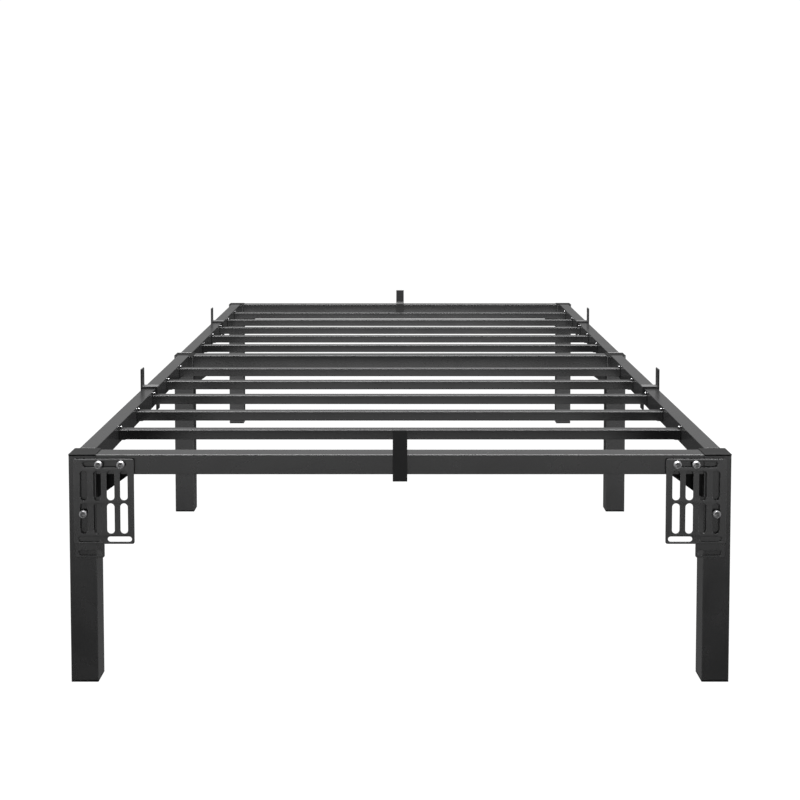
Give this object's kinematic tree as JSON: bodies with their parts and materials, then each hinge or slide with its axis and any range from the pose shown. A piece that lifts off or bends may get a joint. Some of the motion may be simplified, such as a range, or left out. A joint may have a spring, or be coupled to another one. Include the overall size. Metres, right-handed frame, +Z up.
{
  "type": "metal platform bed frame",
  "caption": "Low black metal bed frame with square legs, box-section rails, cross slats, mattress retaining clips and slotted headboard plates at one end.",
  "frame": {"origin": "centre of the overall bounding box, on the floor under the feet", "axes": "+Z up, +Y along the bed from the head end (slotted plates) to the foot end, +X to the right seen from the head end"},
  "size_m": [0.991, 1.919, 0.3843],
  "materials": {
    "powder_coat": "satin black powder coat",
    "slat_coat": "satin black powder coat",
    "plate_coat": "satin black powder coat",
    "clip_coat": "fine-textured black coat",
    "cap_plastic": "moulded black plastic",
    "bolt_steel": "dark zinc plate"
  },
  "bodies": {
    "frame": {"back_plate_left": "plate_coat", "back_plate_right": "plate_coat", "bolt_leg_left": "bolt_steel", "bolt_leg_right": "bolt_steel", "bolt_rail_inner_left": "bolt_steel", "bolt_rail_inner_right": "bolt_steel", "bolt_rail_outer_left": "bolt_steel", "bolt_rail_outer_right": "bolt_steel", "cross_rail_foot": "powder_coat", "cross_rail_head": "powder_coat", "cross_rail_mid": "powder_coat", "foot_pad_foot_left": "cap_plastic", "foot_pad_foot_right": "cap_plastic", "foot_pad_head_left": "cap_plastic", "foot_pad_head_right": "cap_plastic", "foot_pad_mid_left": "cap_plastic", "foot_pad_mid_right": "cap_plastic", "headboard_plate_left": "plate_coat", "headboard_plate_right": "plate_coat", "leg_foot_left": "powder_coat", "leg_foot_right": "powder_coat", "leg_head_left": "powder_coat", "leg_head_right": "powder_coat", "leg_mid_left": "powder_coat", "leg_mid_right": "powder_coat", "side_rail_foot_left": "powder_coat", "side_rail_foot_right": "powder_coat", "side_rail_head_left": "powder_coat", "side_rail_head_right": "powder_coat", "slat_01": "slat_coat", "slat_02": "slat_coat", "slat_03": "slat_coat", "slat_04": "slat_coat", "slat_05": "slat_coat", "slat_06": "slat_coat", "slat_07": "slat_coat", "slat_08": "slat_coat", "slat_09": "slat_coat", "slat_10": "slat_coat", "top_cap_foot_left": "cap_plastic", "top_cap_foot_right": "cap_plastic", "top_cap_head_left": "cap_plastic", "top_cap_head_right": "cap_plastic", "top_cap_mid_left": "cap_plastic", "top_cap_mid_right": "cap_plastic"},
    "clip_head_end": {"clip_head_end": "clip_coat"},
    "clip_foot_end": {"clip_foot_end": "clip_coat"},
    "clip_head_left": {"clip_head_left": "clip_coat"},
    "clip_head_right": {"clip_head_right": "clip_coat"},
    "clip_foot_left": {"clip_foot_left": "clip_coat"},
    "clip_foot_right": {"clip_foot_right": "clip_coat"}
  },
  "joints": [
    {"name": "clip_head_end_slide", "type": "slide", "parent": "frame", "child": "clip_head_end", "axis": [1, 0, 0], "range_m": [-0.385, 0.385]},
    {"name": "clip_foot_end_slide", "type": "slide", "parent": "frame", "child": "clip_foot_end", "axis": [1, 0, 0], "range_m": [-0.4425, 0.4425]},
    {"name": "clip_head_left_slide", "type": "slide", "parent": "frame", "child": "clip_head_left", "axis": [0, 1, 0], "range_m": [-0.01, 0.0965]},
    {"name": "clip_head_right_slide", "type": "slide", "parent": "frame", "child": "clip_head_right", "axis": [0, 1, 0], "range_m": [-0.01, 0.0965]},
    {"name": "clip_foot_left_slide", "type": "slide", "parent": "frame", "child": "clip_foot_left", "axis": [0, 1, 0], "range_m": [-0.0205, 0.0857]},
    {"name": "clip_foot_right_slide", "type": "slide", "parent": "frame", "child": "clip_foot_right", "axis": [0, 1, 0], "range_m": [-0.0205, 0.0857]}
  ]
}
